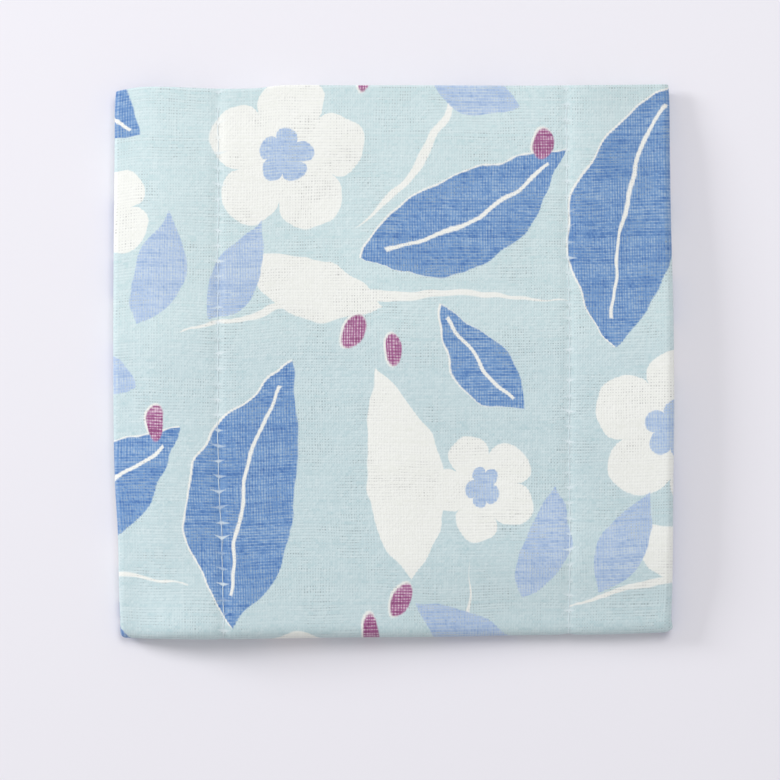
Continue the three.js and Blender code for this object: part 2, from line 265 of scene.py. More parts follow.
def section(along):
    """The cross-section of one half: place, height over the middle plane, and the outward way."""
    right_angle = np.clip((along - RIGHT_BEND) / RIGHT_RADIUS, 0, math.pi)
    left_angle = np.clip((LEFT_BEND - along) / LEFT_RADIUS, 0, math.pi)
    right_past = np.maximum(0, along - RIGHT_FOLD_END)
    left_past = np.maximum(0, LEFT_FOLD_END - along)
    x = np.clip(along, LEFT_BEND, RIGHT_BEND)
    x = x + RIGHT_RADIUS * np.sin(right_angle) - right_past
    x = x - LEFT_RADIUS * np.sin(left_angle) + left_past
    height = PANEL_HEIGHT - RIGHT_RADIUS * (1 - np.cos(right_angle))
    height = height - LEFT_RADIUS * (1 - np.cos(left_angle))
    out_x = np.sin(right_angle) - np.sin(left_angle)
    out_height = np.cos(right_angle + left_angle)
    return x, height, out_x, out_height


def skew(along):
    left_past = np.maximum(0, LEFT_FOLD_END - along)
    right_past = np.maximum(0, along - RIGHT_FOLD_END)
    return -LEFT_SKEW * left_past - RIGHT_SKEW * right_past


def through_half_fold(height, across):
    """A height of the cross-section, carried round the front roll."""
    angle = np.clip(across / ROLL_ARC, -1, 1) * math.pi / 2
    forward, upward = np.cos(angle), np.sin(angle)
    fullness = np.abs(forward) ** ROLL_SQUARENESS + np.abs(upward) ** ROLL_SQUARENESS
    reach = height * fullness ** (-1 / ROLL_SQUARENESS)
    past = np.maximum(0, np.abs(across) - ROLL_ARC)
    return ROLL_CENTRE - reach * forward + past, MIDDLE + reach * upward


def half_thickness(along, across):
    """Half the cloth's thickness: rounded at the hems, pinched and puckered by the stitches."""
    from_side = HALF_LENGTH - np.abs(along)
    from_end = np.minimum(UPPER_END - across, across - LOWER_END)
    from_hem = np.clip(np.minimum(from_side, from_end) / HALF_THICKNESS, 0, 1)
    rounding = BLUNT_EDGE + (1 - BLUNT_EDGE) * np.sqrt(1 - (1 - from_hem) ** 2)
    pinched = np.zeros_like(along)
    pucker = np.zeros_like(along)
    wave = np.cos(2 * math.pi * across / STITCH)
    for index, line in enumerate(LINE_PLACES):
        pinched += bell(along - line, PINCH_REACH) * (1 + PINCH_AT_HOLES * wave)
        ridge = bell(along - line, PUCKER_REACH) - bell(along - line, PUCKER_START)
        quick = np.sin(across * PUCKER_WAVES[0] + index * PUCKER_LINE_SHIFT)
        slow = np.sin(across * PUCKER_WAVES[1] + index)
        pucker += ridge * wave * (PUCKER_MEAN + PUCKER_SWING * quick * slow)
    return HALF_THICKNESS * rounding * (1 - PINCH * pinched) - PUCKER * pucker * rounding


def settle(x, y, z):
    """Layers drop into the hollows that the flaps leave, and the upper face swells softly."""
    drop = 0
    for hollow in HOLLOWS:
        filled = np.clip((z - hollow["floor"]) / (hollow["roof"] - hollow["floor"]), 0, 1)
        deepest = read_table(HOLLOW_DROPS, hollow["name"], y)
        drop = drop + deepest * smooth(hollow["start"], hollow["end"], x) * filled
    end = PACK_DEPTH / 2
    rise = read_table(END_HEIGHTS, "roll", x) * smooth(ROLL_HEIGHT_REACH - end, -end, y)
    rise = rise + read_table(END_HEIGHTS, "hem", x) * smooth(end - HEM_HEIGHT_REACH, end, y)
    for swell in SWELLS:
        across_x = bell(x - swell["x"], swell["reach_x"])
        rise = rise + swell["rise"] * across_x * bell(y - swell["y"], swell["reach_y"])
    return (z - drop) * (1 + rise / PACK_HEIGHT)


def draw_outline(x, y, z):
    """The outline's own unevenness, the lower layers that stand out, and the corner's ear."""
    to_right = x / PANEL_WIDTH + 0.5
    to_hems = y / PACK_DEPTH + 0.5
    left = read_table(SIDE_EDGES, "left", y) * (1 - to_right)
    right = read_table(SIDE_EDGES, "right", y) * to_right
    roll = read_table(END_EDGES, "roll", x) * (1 - to_hems)
    hem = read_table(END_EDGES, "hem", x) * to_hems
    lowness = 1 - np.clip(z / PACK_HEIGHT, 0, 1)
    out = 0
    for row in LOWER_OUT:
        beside = smooth(OUT_FROM, PANEL_WIDTH / 2, row["side"] * x)
        out = out + row["side"] * row["by"] * lowness * bell(y - row["y"], row["reach"]) * beside
    ear = bell(x - EAR["x"], EAR["reach"]) * bell(y - EAR["y"], EAR["reach"])
    ear = ear * bell(z - MIDDLE, EAR["reach_z"])
    return x + left - right + out + EAR["out"] * ear, y + roll - hem - EAR["front"] * ear


def cloth_points(along, across, outward, lift=0.0):
    """Places of the folded cloth: outward is 1 on its outer face and -1 on its inner face."""
    place, height, out_x, out_height = section(along)
    offset = outward * (half_thickness(along, across) + lift)
    x = place + offset * out_x
    y, z = through_half_fold(height + offset * out_height, across + skew(along))
    z = settle(x, y, z)
    x, y = draw_outline(x, y, z)
    return np.stack([x, y, z], axis=-1)


def spread(start, end, step):
    count = max(1, math.ceil(abs(end - start) / step))
    return list(np.linspace(start, end, count, endpoint=False))


def along_places():
    places = spread(-HALF_LENGTH, LEFT_FOLD_END, FLAP_STEP)
    places += spread(LEFT_FOLD_END, LEFT_BEND, math.pi * LEFT_RADIUS / LEFT_FOLD_STEPS)
    places += spread(LEFT_BEND, RIGHT_BEND, PANEL_STEP)
    places += spread(RIGHT_BEND, RIGHT_FOLD_END, math.pi * RIGHT_RADIUS / RIGHT_FOLD_STEPS)
    places += spread(RIGHT_FOLD_END, HALF_LENGTH, FLAP_STEP)
    places = [place for place in places[1:]
              if all(abs(place - line) > TROUGH_CLEAR for line in LINE_PLACES)]
    for line in LINE_PLACES:
        places += [line] + [line + side * step for side in (-1, 1) for step in TROUGH_OFFSETS]
    places += [side * (HALF_LENGTH - inset) for side in (-1, 1) for inset in HEM_INSETS]
    return np.array(sorted(places))


def across_places():
    """From the lower hem to the upper one, with rows at each needle hole and between them."""
    straight_start = math.ceil(LOWER_END / (STITCH / 2)) + 1
    straight_end = math.floor(UPPER_END / (STITCH / 2)) - 1
    rows = [index * STITCH / 2 for index in range(straight_start, straight_end + 1)]
    rows = [row for row in rows if abs(row) > ROLL_ARC]
    rows += list(np.linspace(-ROLL_ARC, ROLL_ARC, ROLL_STEPS + 1))
    rows += [LOWER_END + inset for inset in HEM_INSETS]
    rows += [UPPER_END - inset for inset in HEM_INSETS]
    return np.array(sorted(rows))


def mesh_object(name, points, faces):
    mesh = bpy.data.meshes.new(name)
    mesh.from_pydata([tuple(point) for point in points], [], faces)
    mesh.update()
    for polygon in mesh.polygons:
        polygon.use_smooth = True
    piece = bpy.data.objects.new(name, mesh)
    bpy.context.collection.objects.link(piece)
    return piece


def place_shift(points):
    """The move that puts the sheet's own box where the solid's node lies."""
    low, high = (np.array(corner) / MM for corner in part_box(NODE))
    own_low, own_high = points.min(axis=0), points.max(axis=0)
    shift = (low + high - own_low - own_high) / 2
    shift[2] = low[2] - own_low[2]
    return shift


def add_texture_map(sheet, along, across):
    """The map for exported textures: the cloth unrolled, with the hems' edges above and below it."""
    outer = np.interp(along, *zip(*OUTER_SHARES))
    inner = np.interp(along[::-1], *zip(*INNER_SHARES))
    round_ring = np.concatenate([outer, inner, [1.0]])
    rows = np.interp(across, *zip(*ACROSS_SHARES))
    places = []
    for low, high in zip(rows, rows[1:]):
        for left, right in zip(round_ring, round_ring[1:]):
            places += [(left, low), (right, low), (right, high), (left, high)]
    for left, right in zip(outer, outer[1:]):
        places += [(left, HEM_SHARE), (left, 0), (right, 0), (right, HEM_SHARE)]
        places += [(left, 1 - HEM_SHARE), (right, 1 - HEM_SHARE), (right, 1), (left, 1)]
    texture_map = sheet.data.uv_layers.new(name=TEXTURE_MAP)
    texture_map.data.foreach_set("uv", np.array(places, np.float32).ravel())


def build_sheet():
    """The closed sheet, with the flat cloth's coordinates kept as a UV map."""
    along = along_places()
    across = across_places()
    count = len(along)
    ring = 2 * count
    loop_along = np.concatenate([along, along[::-1]])
    loop_out = np.concatenate([np.ones(count), -np.ones(count)])
    grid_along = np.tile(loop_along, len(across))
    grid_out = np.tile(loop_out, len(across))
    grid_across = np.repeat(across, ring)
    points = cloth_points(grid_along, grid_across, grid_out)
    shift = place_shift(points)
    faces = []
    for row in range(len(across) - 1):
        start = row * ring
        for corner in range(ring):
            beside = (corner + 1) % ring
            faces.append((start + corner, start + beside, start + beside + ring, start + corner + ring))
    last = (len(across) - 1) * ring
    for index in range(count - 1):
        inner = ring - 1 - index
        faces.append((index, inner, inner - 1, index + 1))
        faces.append((last + index, last + index + 1, last + inner - 1, last + inner))
    sheet = mesh_object("gauze_cloth", (points + shift) * MM, faces)
    flat_map = sheet.data.uv_layers.new(name=FLAT_MAP)
    corner_vertex = np.zeros(len(sheet.data.loops), dtype=np.int32)
    sheet.data.loops.foreach_get("vertex_index", corner_vertex)
    flat = np.stack([grid_along[corner_vertex], grid_across[corner_vertex]], axis=-1) * MM
    flat_map.data.foreach_set("uv", flat.astype(np.float32).ravel())
    add_texture_map(sheet, along, across)
    face_out = sheet.data.attributes.new(OUTER_FACE, "FLOAT", "POINT")
    face_out.data.foreach_set("value", grid_out.astype(np.float32))
    return sheet, shift


def build_stitches(shift):
    """Each stitch is a short arched tube from one needle hole to the next, on the outer face."""
    shares = np.array(THREAD_PLACES)
    sides = THREAD_SIDES
    rng = np.random.default_rng(THREAD_SEED)
    first = math.ceil((LOWER_END + THREAD_FROM_HEM) / STITCH)
    last = math.floor((UPPER_END - THREAD_FROM_HEM) / STITCH)
    arch = np.sin(math.pi * shares) ** THREAD_ARCH
    lift = -THREAD_DIP + (THREAD_DIP + THREAD_RISE) * arch
    points = []
    faces = []
    for line in LINE_PLACES:
        holes = rng.uniform(-1, 1, last - first + 1) * THREAD_WANDER
        for index in range(last - first):
            across = (first + index + shares) * STITCH
            along = line + holes[index] + (holes[index + 1] - holes[index]) * shares
            centre = cloth_points(along, across, 1.0, lift)
            up = centre - cloth_points(along, across, 1.0, lift - BELOW_THREAD)
            up /= np.linalg.norm(up, axis=1, keepdims=True)
            forward = np.gradient(centre, axis=0)
            forward /= np.linalg.norm(forward, axis=1, keepdims=True)
            aside = np.cross(forward, up)
            base = len(points) * sides
            for ring in range(len(shares)):
                turned = [aside[ring] * math.cos(a) + up[ring] * math.sin(a)
                          for a in (2 * math.pi * side / sides for side in range(sides))]
                points.append([centre[ring] + THREAD_RADIUS * way for way in turned])
            for ring in range(len(shares) - 1):
                for side in range(sides):
                    here = base + ring * sides + side
                    beside = base + ring * sides + (side + 1) % sides
                    faces.append((here, beside, beside + sides, here + sides))
            end = base + (len(shares) - 1) * sides
            faces.append(tuple(base + side for side in reversed(range(sides))))
            faces.append(tuple(end + side for side in range(sides)))
    placed = (np.array(points).reshape(-1, 3) + shift) * MM
    return mesh_object("quilting_thread", placed, faces)


class Graph:
    """Short ways to add nodes to one node tree. Each returns the socket that it makes."""

    def __init__(self, tree):
        self.tree = tree

    def node(self, kind, **settings):
        made = self.tree.nodes.new(kind)
        for name, value in settings.items():
            setattr(made, name, value)
        return made

    def feed(self, socket, value):
        if isinstance(value, bpy.types.NodeSocket):
            self.tree.links.new(value, socket)
        else:
            socket.default_value = value

    def math(self, operation, *values, clamp=False):
        made = self.node("ShaderNodeMath", operation=operation, use_clamp=clamp)
        for socket, value in zip(made.inputs, values):
            self.feed(socket, value)
        return made.outputs[0]

    def vector(self, operation, *values):
        made = self.node("ShaderNodeVectorMath", operation=operation)
        for socket, value in zip(made.inputs, values):
            self.feed(socket, value)
        return made.outputs["Value"] if operation in ("LENGTH", "DOT_PRODUCT") else made.outputs[0]

    def scaled(self, vector, factor):
        made = self.node("ShaderNodeVectorMath", operation="SCALE")
        self.feed(made.inputs[0], vector)
        self.feed(made.inputs["Scale"], factor)
        return made.outputs[0]

    def join(self, x, y, z=0.0):
        made = self.node("ShaderNodeCombineXYZ")
        for socket, value in zip(made.inputs, (x, y, z)):
            self.feed(socket, value)
        return made.outputs[0]

    def split(self, vector):
        made = self.node("ShaderNodeSeparateXYZ")
        self.feed(made.inputs[0], vector)
        return made.outputs[0], made.outputs[1]

    def ramp(self, value, start, end, low=0.0, high=1.0):
        made = self.node("ShaderNodeMapRange", interpolation_type="SMOOTHSTEP")
        for socket, given in zip(made.inputs, (value, start, end, low, high)):
            self.feed(socket, given)
        return made.outputs[0]

    def mix(self, share, one, other):
        made = self.node("ShaderNodeMix", data_type="RGBA")
        self.feed(made.inputs[0], share)
        self.feed(made.inputs[6], one)
        self.feed(made.inputs[7], other)
        return made.outputs[2]

    def noise(self, vector, scale, detail=1.0):
        made = self.node("ShaderNodeTexNoise", noise_dimensions="2D")
        self.feed(made.inputs["Vector"], vector)
        self.feed(made.inputs["Scale"], scale)
        self.feed(made.inputs["Detail"], detail)
        return made.outputs["Fac"]

    def chance(self, value):
        made = self.node("ShaderNodeTexWhiteNoise", noise_dimensions="1D")
        self.feed(made.inputs["W"], value)
        return made.outputs["Value"]

    def cell_chance(self, cell):
        made = self.node("ShaderNodeTexWhiteNoise", noise_dimensions="2D")
        self.feed(made.inputs["Vector"], cell)
        return made.outputs["Value"]

    def gamma(self, colour, power):
        made = self.node("ShaderNodeGamma")
        self.feed(made.inputs["Color"], colour)
        self.feed(made.inputs["Gamma"], power)
        return made.outputs[0]


def linear(red, green, blue):
    """A colour given as it looks on screen, from 0 to 255, as the shader's linear one."""
    def channel(value):
        share = value / 255
        return share / 12.92 if share <= 0.04045 else ((share + 0.055) / 1.055) ** 2.4
    return (channel(red), channel(green), channel(blue), 1.0)


# The print: a generic spray of leaves, blossoms and berries on an aqua ground, as a half-drop
# repeat. Places and sizes are in millimetres of the flat cloth, and turns in degrees.
REPEAT = (104, 150)
PRINT_ORIGIN = (-5, 15)
INKS = {
    "ground": linear(206, 223, 226),
    "deep_ground": linear(201, 218, 222),
    "white": linear(237, 238, 234),
    "blue": linear(107, 145, 195),
    "pale_blue": linear(173, 193, 222),
    "magenta": linear(157, 92, 139),
}
# What shows of each ink between the yarns, on the plies below: paler ink, darkened by painted shade of
# the ply above.
SHADED_THROUGH_INKS = {
    "ground": linear(192, 209, 213),
    "deep_ground": linear(187, 205, 210),
    "white": linear(228, 229, 226),
    "blue": linear(158, 181, 207),
    "pale_blue": linear(196, 209, 220),
    "magenta": linear(218, 190, 207),
}
PULLED_YARN = linear(218, 229, 234)

# Between these places, measured from the half fold, the ground's ink turns paler.
GROUND_PALES = (76, 88)
LEAVES = [
    {"ink": "blue", "x": -31, "y": 26, "turn": 76, "length": 74, "width": 29, "bend": 5},
    {"ink": "blue", "x": 24, "y": -46, "turn": 28, "length": 62, "width": 25, "bend": -5},
    {"ink": "blue", "x": 29, "y": 62, "turn": 128, "length": 36, "width": 15, "bend": 2},
    {"ink": "white", "x": 4, "y": 31, "turn": 98, "length": 58, "width": 20, "bend": -4},
    {"ink": "white", "x": -18, "y": -66, "turn": 160, "length": 42, "width": 16, "bend": 3},
    {"ink": "pale_blue", "x": 25, "y": -12, "turn": 152, "length": 34, "width": 14, "bend": 2},
    {"ink": "pale_blue", "x": -37, "y": -64, "turn": 62, "length": 30, "width": 12, "bend": 0},
    {"ink": "pale_blue", "x": 44, "y": 12, "turn": 74, "length": 32, "width": 13, "bend": -2},
]
BLOSSOMS = [
    {"x": -24, "y": -33, "radius": 22, "turn": 12},
    {"x": 29, "y": 27, "radius": 15, "turn": 40},
]
BERRIES = [
    {"x": -6, "y": 69, "turn": 70, "long": 4.8, "wide": 2.3},
    {"x": 5, "y": 64, "turn": 100, "long": 4.6, "wide": 2.2},
    {"x": 45, "y": -30, "turn": 80, "long": 4.8, "wide": 2.4},
    {"x": -2, "y": -12, "turn": 85, "long": 4.6, "wide": 2.3},
    {"x": 6, "y": -3, "turn": 75, "long": 4.4, "wide": 2.2},
]
STEMS = [
    {"x": 0, "y": 72, "turn": 4, "length": 110, "width": 2.4, "bend": 7},
    {"x": 10, "y": -24, "turn": 62, "length": 66, "width": 2.2, "bend": -8},
]
RIB_WIDTH = 1.0
RIB_SHARE = 0.8

LEAF_REACH = 1.5
LEAF_TAPER = 0.13

# A blossom: its petals and how full they are, its core and a petal's reach past it as shares of the
# radius, and its eye as a share of the blossom's own outline.
PETALS = 5
PETAL_FULLNESS = 0.5
PETAL_SHARE = 0.4
CORE_SHARE = 0.58
EYE_SHARE = 0.36

# The print's edges: the white keyline and its shift, the soft edge, and their unevenness.
KEYLINE = 0.2
KEYLINE_SHIFT = (-0.35, 0.15, 0)
PRINT_EDGE = 0.22
PRINT_WOBBLE = 3.4
PRINT_WOBBLE_SCALE = 0.085
PRINT_WOBBLE_SHIFT = (91.0, 53.0, 0)
PRINT_STEPPING = 0.25


def local_place(g, place, x, y, turn):
    """The millimetre offset from a motif's centre, turned to it, in the nearest repeat."""
    width, height = REPEAT
    centre = (x / width, y / height - x / width / 2, 0)
    away = g.vector("SUBTRACT", place, centre)
    nearest = g.vector("WRAP", away, (0.5, 0.5, 0.5), (-0.5, -0.5, -0.5))
    a, b = g.split(nearest)
    drop = g.math("MULTIPLY_ADD", a, 0.5, b)
    offset = g.join(g.math("MULTIPLY", a, width), g.math("MULTIPLY", drop, height))
    made = g.node("ShaderNodeVectorRotate", rotation_type="Z_AXIS")
    g.feed(made.inputs["Vector"], offset)
    made.inputs["Angle"].default_value = -math.radians(turn)
    return made.outputs[0]


def leaf_distances(g, place, leaf):
    """How far outside a leaf a place lies, how far from its rib, and its share of the length."""
    x, y = g.split(local_place(g, place, leaf["x"], leaf["y"], leaf["turn"]))
    share = g.math("DIVIDE", x, leaf["length"] / 2)
    share = g.math("MAXIMUM", g.math("MINIMUM", share, LEAF_REACH), -LEAF_REACH)
    full = g.math("MULTIPLY_ADD", g.math("MULTIPLY", share, share), -1.0, 1.0)
    side = g.math("ABSOLUTE", g.math("MULTIPLY_ADD", full, -leaf["bend"], y))
    belly = g.math("MULTIPLY_ADD", share, -LEAF_TAPER * leaf["width"], leaf["width"] / 2)
    return g.math("SUBTRACT", side, g.math("MULTIPLY", full, belly)), side, share


def nearest_of(g, distances):
    found = distances[0]
    for other in distances[1:]:
        found = g.math("MINIMUM", found, other)
    return found


def inked_distances(g, place):
    """How far outside each ink's motifs a place lies, and how far outside the leaves' ribs."""
    found = {"white": [], "blue": [], "pale_blue": [], "magenta": [], "ribs": []}
    for leaf in LEAVES:
        outside, side, share = leaf_distances(g, place, leaf)
        found[leaf["ink"]].append(outside)
        if leaf["ink"] == "blue":
            half = leaf["length"] / 2
            beyond = g.math("MULTIPLY_ADD", g.math("ABSOLUTE", share), half, -RIB_SHARE * half)
            aside = g.math("SUBTRACT", side, RIB_WIDTH / 2)
            found["ribs"].append(g.math("MAXIMUM", aside, beyond))
    for stem in STEMS:
        found["white"].append(leaf_distances(g, place, stem)[0])
    for blossom in BLOSSOMS:
        offset = local_place(g, place, blossom["x"], blossom["y"], blossom["turn"])
        x, y = g.split(offset)
        angle = g.math("ARCTAN2", y, x)
        lobe = g.math("ABSOLUTE", g.math("COSINE", g.math("MULTIPLY", angle, PETALS / 2)))
        petal = g.math("POWER", lobe, PETAL_FULLNESS)
        reach = g.math("MULTIPLY_ADD", petal, PETAL_SHARE * blossom["radius"],
                       CORE_SHARE * blossom["radius"])
        radius = g.vector("LENGTH", offset)
        found["white"].append(g.math("SUBTRACT", radius, reach))
        found["pale_blue"].append(g.math("MULTIPLY_ADD", reach, -EYE_SHARE, radius))
    for berry in BERRIES:
        offset = local_place(g, place, berry["x"], berry["y"], berry["turn"])
        stretched = g.vector("DIVIDE", offset, (berry["long"], berry["wide"], 1))
        outside = g.math("SUBTRACT", g.vector("LENGTH", stretched), 1.0)
        found["magenta"].append(g.math("MULTIPLY", outside, berry["wide"]))
    return {ink: nearest_of(g, distances) for ink, distances in found.items()}


def lattice_place(g, flat, shift):
    """A flat place in millimetres, as shares of the repeat on its slanting lattice."""
    x, y = g.split(g.vector("SUBTRACT", flat, shift))
    column = g.math("DIVIDE", x, REPEAT[0])
    row = g.math("DIVIDE", y, REPEAT[1])
    return g.join(column, g.math("MULTIPLY_ADD", column, -0.5, row))


def distance_group():
    tree = bpy.data.node_groups.new("motifs", "ShaderNodeTree")
    tree.interface.new_socket("Place", in_out="INPUT", socket_type="NodeSocketVector")
    g = Graph(tree)
    entry = g.node("NodeGroupInput")
    leaving = g.node("NodeGroupOutput")
    found = inked_distances(g, entry.outputs[0])
    for ink, distance in found.items():
        tree.interface.new_socket(ink, in_out="OUTPUT", socket_type="NodeSocketFloat")
        g.feed(leaving.inputs[ink], distance)
    return tree


def print_group():
    """The print: flat place in millimetres in; ink colour on the yarns, and between them the plies
    below with painted shade, out.
    """
    tree = bpy.data.node_groups.new("print", "ShaderNodeTree")
    tree.interface.new_socket("Place", in_out="INPUT", socket_type="NodeSocketVector")
    for name in ("Colour", "Through"):
        tree.interface.new_socket(name, in_out="OUTPUT", socket_type="NodeSocketColor")
    g = Graph(tree)
    entry = g.node("NodeGroupInput")
    leaving = g.node("NodeGroupOutput")
    motifs = distance_group()
    origin = Vector((*PRINT_ORIGIN, 0))
    found = group_node(g, motifs, lattice_place(g, entry.outputs[0], origin)).outputs
    keyed_place = lattice_place(g, entry.outputs[0], origin + Vector(KEYLINE_SHIFT))
    keyed = group_node(g, motifs, keyed_place).outputs

    inked = nearest_of(g, [keyed["blue"], keyed["magenta"]])
    bare = g.math("MINIMUM", found["white"], g.math("SUBTRACT", inked, KEYLINE))
    layers = [(bare, "white"), (found["pale_blue"], "pale_blue"), (found["blue"], "blue"),
              (found["ribs"], "white"), (found["magenta"], "magenta")]
    pale = g.ramp(g.split(entry.outputs[0])[1], *GROUND_PALES)
    colour = g.mix(pale, INKS["deep_ground"], INKS["ground"])
    through = g.mix(pale, SHADED_THROUGH_INKS["deep_ground"], SHADED_THROUGH_INKS["ground"])
    for distance, ink in layers:
        inside = g.ramp(distance, PRINT_EDGE, -PRINT_EDGE)
        colour = g.mix(inside, colour, INKS[ink])
        through = g.mix(inside, through, SHADED_THROUGH_INKS[ink])
    g.feed(leaving.inputs["Colour"], colour)
    g.feed(leaving.inputs["Through"], through)
    return tree


# The weave, one row for each set of yarns: their spacing, the share of it that half a yarn fills, how
# much their tone differs from yarn to yarn and along one, how fast it changes along one, and a seed.
WARP_PITCH = 0.73
WEFT_PITCH = 0.81
WARP = {"pitch": WARP_PITCH, "half": 0.25, "own": 0.36, "stretch": 1.15, "turns": 0.5, "seed": 3.7}
WEFT = {"pitch": WEFT_PITCH, "half": 0.30, "own": 0.95, "stretch": 2.9, "turns": 0.38, "seed": 9.1}
YARN_EDGE = 0.13
YARN_ROW_STEP = 5.3
STRETCH_DETAIL = 3.0
DARK_YARN_WIDER = 0.2

# How far the yarns wander and crowd, in millimetres, and how fast that changes with the place.
YARN_WANDER = 1.0
WANDER_SCALE = 0.05
WANDER_SHIFT = (37.0, 11.0, 0.0)
YARN_CROWDING = 0.55
CROWDING_ASIDE = 0.5
CROWDING_FORWARD = 0.03

# How well each set shows from patch to patch, and between which levels of the patches it changes.
PATCH_SCALE = 0.07
PATCH_SHIFT = (71.0, 5.0, 0.0)
WARP_SHOWN = (0.45, 0.95)
WARP_CHANGES = (0.3, 0.6)
WEFT_SHOWN = (0.95, 0.68)
WEFT_CHANGES = (0.4, 0.7)

# The gaps: how open each is, as a least share and what chance adds, and the power that keeps a gap's
# painted shade to its middle.
GAP_LEAST = 0.45
GAP_CHANCE = 0.9
HOLE_POWER = 1.7

# Where yarns cross: their mean height, how far one rises and the other sinks from it, the soft change
# from one to the other, and the tone that the crossing adds, as a base and what chance adds.
CROSSING_HEIGHT = 0.65
CROSSING_RISE = 0.35
CROSSING_EDGE = 0.2
CROSSING_TONE = -0.2
CROSSING_CHANCE = 1.15


def yarns(g, aside, forward, kind):
    """One set of parallel yarns: where they cover, how dark each stretch is, and their count."""
    crowding_place = g.join(g.math("MULTIPLY", aside, CROWDING_ASIDE),
                            g.math("MULTIPLY", forward, CROWDING_FORWARD))
    crowding = g.noise(crowding_place, 1.0)
    counted = g.math("DIVIDE", g.math("MULTIPLY_ADD", crowding, YARN_CROWDING, aside), kind["pitch"])
    index = g.math("FLOOR", counted)
    off_centre = g.math("ABSOLUTE", g.math("SUBTRACT", g.math("FRACT", counted), 0.5))
    own = g.chance(g.math("ADD", index, kind["seed"]))
    run = g.join(g.math("MULTIPLY", index, YARN_ROW_STEP), g.math("MULTIPLY", forward, kind["turns"]))
    stretch = g.noise(run, 1.0, STRETCH_DETAIL)
    tone = g.math("ADD", g.math("MULTIPLY_ADD", own, kind["own"], -kind["own"] / 2),
                  g.math("MULTIPLY_ADD", stretch, kind["stretch"], -kind["stretch"] / 2))
    half_width = g.math("MULTIPLY_ADD", tone, DARK_YARN_WIDER, kind["half"])
    cover = g.ramp(g.math("SUBTRACT", off_centre, half_width), YARN_EDGE, -YARN_EDGE)
    return cover, tone, counted


def weave_group():
    """One ply of open plain weave: flat place in; how open it is, its height and yarn tone out."""
    tree = bpy.data.node_groups.new("weave", "ShaderNodeTree")
    tree.interface.new_socket("Place", in_out="INPUT", socket_type="NodeSocketVector")
    for name in ("Open", "Hole", "Height", "Tone"):
        tree.interface.new_socket(name, in_out="OUTPUT", socket_type="NodeSocketFloat")
    g = Graph(tree)
    entry = g.node("NodeGroupInput")
    leaving = g.node("NodeGroupOutput")
    place = entry.outputs[0]
    wander_x = g.noise(place, WANDER_SCALE)
    wander_y = g.noise(g.vector("ADD", place, WANDER_SHIFT), WANDER_SCALE)
    x, y = g.split(place)
    x = g.math("MULTIPLY_ADD", wander_x, YARN_WANDER, x)
    y = g.math("MULTIPLY_ADD", wander_y, YARN_WANDER, y)
    warp, warp_tone, warp_count = yarns(g, x, y, WARP)
    weft, weft_tone, weft_count = yarns(g, y, x, WEFT)

    # In places the warp sinks away between the wefts, and elsewhere the wefts are the fainter.
    patch = g.noise(g.vector("ADD", place, PATCH_SHIFT), PATCH_SCALE)
    warp_shown = g.ramp(patch, *WARP_CHANGES, *WARP_SHOWN)
    weft_shown = g.ramp(patch, *WEFT_CHANGES, *WEFT_SHOWN)
    bare_of_warp = g.math("MULTIPLY_ADD", g.math("MULTIPLY", warp, warp_shown), -1.0, 1.0)
    bare_of_weft = g.math("MULTIPLY_ADD", g.math("MULTIPLY", weft, weft_shown), -1.0, 1.0)
    opening = g.math("MULTIPLY", bare_of_warp, bare_of_weft)
    hole = g.math("POWER", opening, HOLE_POWER)
    counts = g.join(warp_count, weft_count)
    gap = g.vector("FLOOR", g.vector("ADD", counts, (0.5, 0.5, 0.0)))
    gap_own = g.math("MULTIPLY_ADD", g.cell_chance(gap), GAP_CHANCE, GAP_LEAST)
    opening = g.math("MULTIPLY", opening, gap_own)
    crossing = g.cell_chance(g.vector("FLOOR", counts))
    both = g.math("MULTIPLY", warp, weft)

    phase = g.math("MULTIPLY", g.math("SINE", g.math("MULTIPLY", x, math.pi / WARP_PITCH)),
                   g.math("SINE", g.math("MULTIPLY", y, math.pi / WEFT_PITCH)))
    warp_rise = g.math("MULTIPLY_ADD", phase, CROSSING_RISE, CROSSING_HEIGHT)
    weft_rise = g.math("MULTIPLY_ADD", phase, -CROSSING_RISE, CROSSING_HEIGHT)
    warp_height = g.math("MULTIPLY", warp, warp_rise)
    weft_height = g.math("MULTIPLY", weft, weft_rise)
    height = g.math("MAXIMUM", warp_height, weft_height)
    higher = g.math("SUBTRACT", warp_height, weft_height)
    warp_on_top = g.ramp(higher, -CROSSING_EDGE, CROSSING_EDGE)
    tone = g.math("ADD", g.math("MULTIPLY", warp_tone, warp_on_top),
                  g.math("MULTIPLY", weft_tone, g.math("SUBTRACT", 1.0, warp_on_top)))
    crossing_tone = g.math("MULTIPLY_ADD", crossing, CROSSING_CHANCE, CROSSING_TONE)
    tone = g.math("MULTIPLY_ADD", both, crossing_tone, tone)
    g.feed(leaving.inputs["Open"], opening)
    g.feed(leaving.inputs["Hole"], hole)
    g.feed(leaving.inputs["Height"], height)
    g.feed(leaving.inputs["Tone"], tone)
    return tree


# The marks of the stitches: the flare of yarns pulled apart at a needle hole, the yarns crowded below
# it with the painted shade of the pucker there, those set close beside the thread, and the pinhole with
# painted shade in it.
FLARE_REACH = (1.0, 2.6)
FLARE_HALF = 0.13
FLARE_APEX = 0.4
FLARE_TAPER = 2.0
FLARE_SLOPE = (-0.15, 0.5)
FLARE_STRENGTH = (0.25, 0.95)
FLARE_EDGE = (1.6, 0.4)
FLARE_FADE = 0.4
CROWD_BELOW = 0.95
CROWD_RADIUS = (1.5, 0.6)
CROWD_EDGE = (1.0, 0.2)
CROWD_SHADE = 0.2
CLOSE_REACH = 2.0
CLOSE_FULL = 0.3 * CLOSE_REACH
CLOSE_STRENGTH = 0.6
PINHOLE_ASIDE = 0.42
PINHOLE_BELOW = 0.3
PINHOLE_RADIUS = 0.26
PINHOLE_FULL = 0.3 * PINHOLE_RADIUS
PINHOLE_SHADE = 0.25

